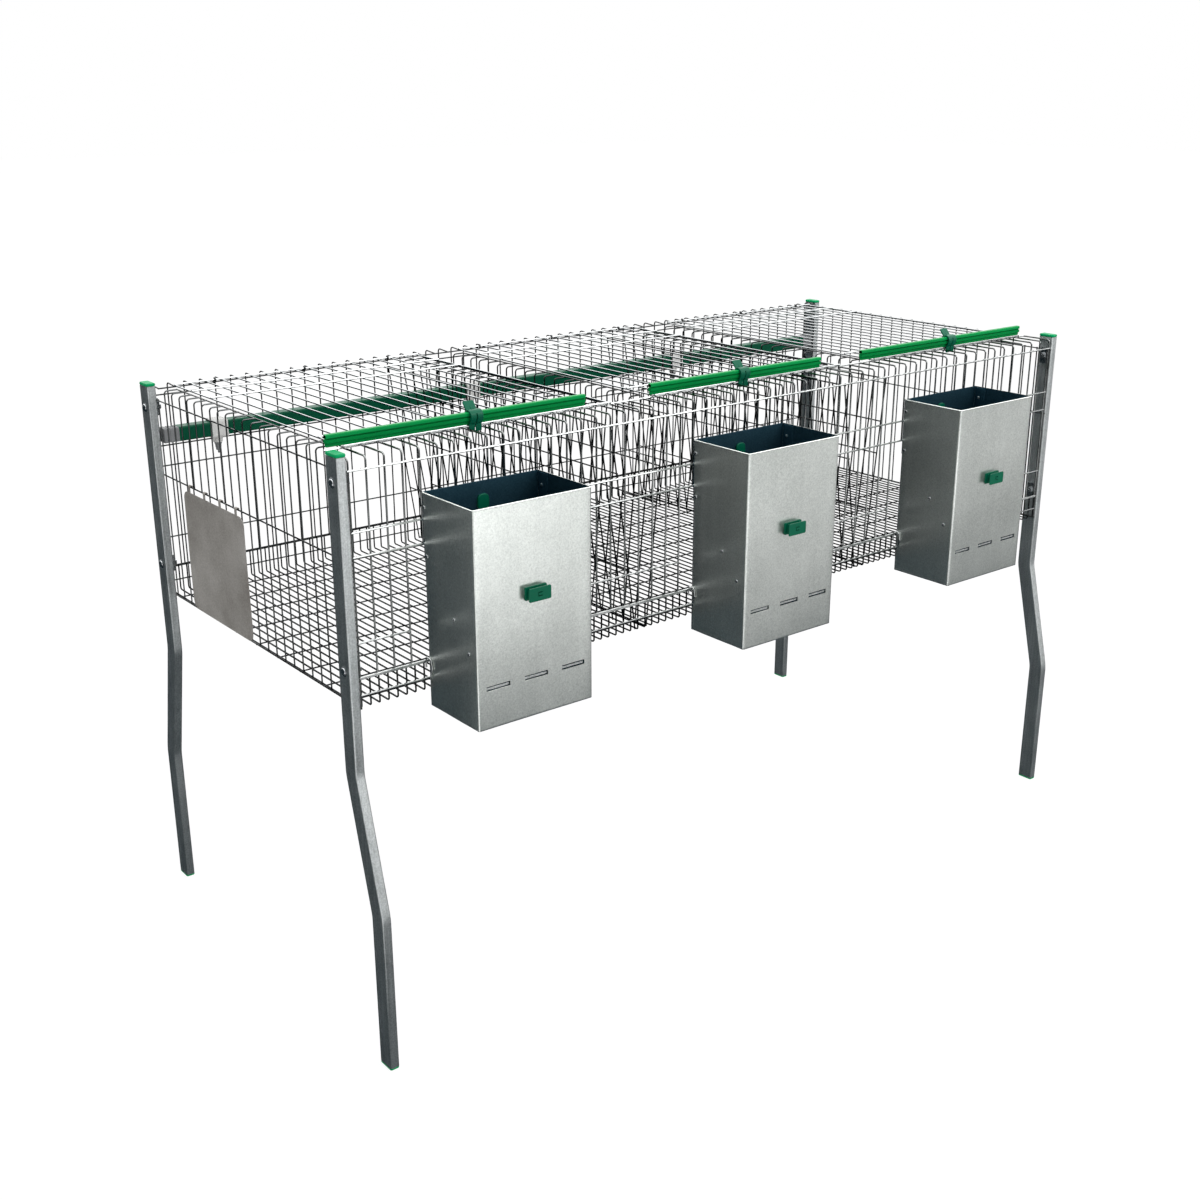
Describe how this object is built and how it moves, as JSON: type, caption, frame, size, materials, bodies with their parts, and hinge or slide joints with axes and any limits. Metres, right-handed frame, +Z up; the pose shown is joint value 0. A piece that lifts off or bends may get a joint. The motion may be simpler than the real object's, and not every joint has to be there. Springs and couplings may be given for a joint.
{
  "type": "rabbit cage",
  "caption": "Raised wire rabbit cage on splayed tube legs, with hinged top lids, front hopper feeders, hay racks and a rear water pipe with nipple drinkers",
  "frame": {"origin": "on the ground under the middle of the overall box", "axes": "+X along the bays to the right seen from the front, +Y to the rear, +Z up"},
  "size_m": [1.5514, 0.8306, 0.9393],
  "materials": {
    "galvanised_wire": "galvanised drawn wire",
    "feeder_sheet": "spangled galvanised sheet",
    "leg_steel": "galvanised tube",
    "side_sheet": "dull galvanised sheet",
    "zinc_fasteners": "zinc plated",
    "green_handle": "extruded, satin",
    "green_caps": "moulded",
    "teal_plastic": "moulded",
    "dark_green_pipe": "extruded",
    "grey_plastic": "moulded",
    "white_plastic": "moulded"
  },
  "bodies": {
    "frame": {"leg_front_left": "leg_steel", "leg_front_right": "leg_steel", "leg_rear_left": "leg_steel", "leg_rear_right": "leg_steel", "leg_top_caps": "green_caps", "leg_foot_plugs": "green_caps", "leg_bolts": "zinc_fasteners", "leg_nuts": "zinc_fasteners", "leg_clamp_plates": "zinc_fasteners", "floor_mesh": "galvanised_wire", "floor_front_lip": "galvanised_wire", "floor_rear_lip": "galvanised_wire", "front_wall_mesh": "galvanised_wire", "front_roof_strip": "galvanised_wire", "rear_wall_mesh": "galvanised_wire", "rear_roof_strip": "galvanised_wire", "left_end_mesh": "galvanised_wire", "right_end_mesh": "galvanised_wire", "left_partition_mesh": "galvanised_wire", "right_partition_mesh": "galvanised_wire", "side_roof_strips": "galvanised_wire", "lid_hinge_rings": "galvanised_wire", "water_pipe": "dark_green_pipe", "pipe_end_fittings": "grey_plastic", "drinker_saddles": "white_plastic", "drinker_nipples": "grey_plastic"},
    "left_lid": {"left_lid_mesh": "galvanised_wire", "left_lid_handle": "green_handle"},
    "left_latch": {"left_lid_latch": "teal_plastic"},
    "left_feeder": {"left_feeder_shell": "feeder_sheet", "left_feeder_back": "feeder_sheet", "left_feeder_baffle": "feeder_sheet", "left_feeder_rivets": "zinc_fasteners", "left_feeder_hook": "teal_plastic", "left_card_clip": "teal_plastic", "left_corner_hooks": "galvanised_wire"},
    "left_pin": {"left_drinker_pin": "zinc_fasteners"},
    "middle_lid": {"middle_lid_mesh": "galvanised_wire", "middle_lid_handle": "green_handle"},
    "middle_latch": {"middle_lid_latch": "teal_plastic"},
    "middle_feeder": {"middle_feeder_shell": "feeder_sheet", "middle_feeder_back": "feeder_sheet", "middle_feeder_baffle": "feeder_sheet", "middle_feeder_rivets": "zinc_fasteners", "middle_feeder_hook": "teal_plastic", "middle_card_clip": "teal_plastic", "middle_corner_hooks": "galvanised_wire"},
    "middle_pin": {"middle_drinker_pin": "zinc_fasteners"},
    "right_lid": {"right_lid_mesh": "galvanised_wire", "right_lid_handle": "green_handle"},
    "right_latch": {"right_lid_latch": "teal_plastic"},
    "right_feeder": {"right_feeder_shell": "feeder_sheet", "right_feeder_back": "feeder_sheet", "right_feeder_baffle": "feeder_sheet", "right_feeder_rivets": "zinc_fasteners", "right_feeder_hook": "teal_plastic", "right_card_clip": "teal_plastic", "right_corner_hooks": "galvanised_wire"},
    "right_pin": {"right_drinker_pin": "zinc_fasteners"},
    "side_plate": {"side_plate": "side_sheet"}
  },
  "joints": [
    {"name": "left_lid_hinge", "type": "hinge", "parent": "frame", "child": "left_lid", "pos_m": [-0.504, 0.3253, 0.9078], "axis": [-1, 0, 0], "range_deg": [0, 105]},
    {"name": "left_latch_turn", "type": "hinge", "parent": "left_lid", "child": "left_latch", "pos_m": [-0.52081, -0.2247, 0.92], "axis": [-1, 0, 0], "range_deg": [0, 25], "stiffness_Nm_per_rad": 0.05},
    {"name": "left_feeder_lift", "type": "slide", "parent": "frame", "child": "left_feeder", "axis": [0, 0, 1], "range_m": [0, 0.03]},
    {"name": "left_drinker_push", "type": "slide", "parent": "frame", "child": "left_pin", "axis": [0, 0, 1], "range_m": [0, 0.0015], "stiffness_N_per_m": 200},
    {"name": "middle_lid_hinge", "type": "hinge", "parent": "frame", "child": "middle_lid", "pos_m": [0, 0.3253, 0.9078], "axis": [-1, 0, 0], "range_deg": [0, 105]},
    {"name": "middle_latch_turn", "type": "hinge", "parent": "middle_lid", "child": "middle_latch", "pos_m": [0, -0.2247, 0.92], "axis": [-1, 0, 0], "range_deg": [0, 25], "stiffness_Nm_per_rad": 0.05},
    {"name": "middle_feeder_lift", "type": "slide", "parent": "frame", "child": "middle_feeder", "axis": [0, 0, 1], "range_m": [0, 0.03]},
    {"name": "middle_drinker_push", "type": "slide", "parent": "frame", "child": "middle_pin", "axis": [0, 0, 1], "range_m": [0, 0.0015], "stiffness_N_per_m": 200},
    {"name": "right_lid_hinge", "type": "hinge", "parent": "frame", "child": "right_lid", "pos_m": [0.504, 0.3253, 0.9078], "axis": [-1, 0, 0], "range_deg": [0, 105]},
    {"name": "right_latch_turn", "type": "hinge", "parent": "right_lid", "child": "right_latch", "pos_m": [0.52081, -0.2247, 0.92], "axis": [-1, 0, 0], "range_deg": [0, 25], "stiffness_Nm_per_rad": 0.05},
    {"name": "right_feeder_lift", "type": "slide", "parent": "frame", "child": "right_feeder", "axis": [0, 0, 1], "range_m": [0, 0.03]},
    {"name": "right_drinker_push", "type": "slide", "parent": "frame", "child": "right_pin", "axis": [0, 0, 1], "range_m": [0, 0.0015], "stiffness_N_per_m": 200},
    {"name": "side_plate_swing", "type": "hinge", "parent": "frame", "child": "side_plate", "pos_m": [-0.756, 0.1513, 0.761], "axis": [0, 1, 0], "range_deg": [0, 100]}
  ]
}
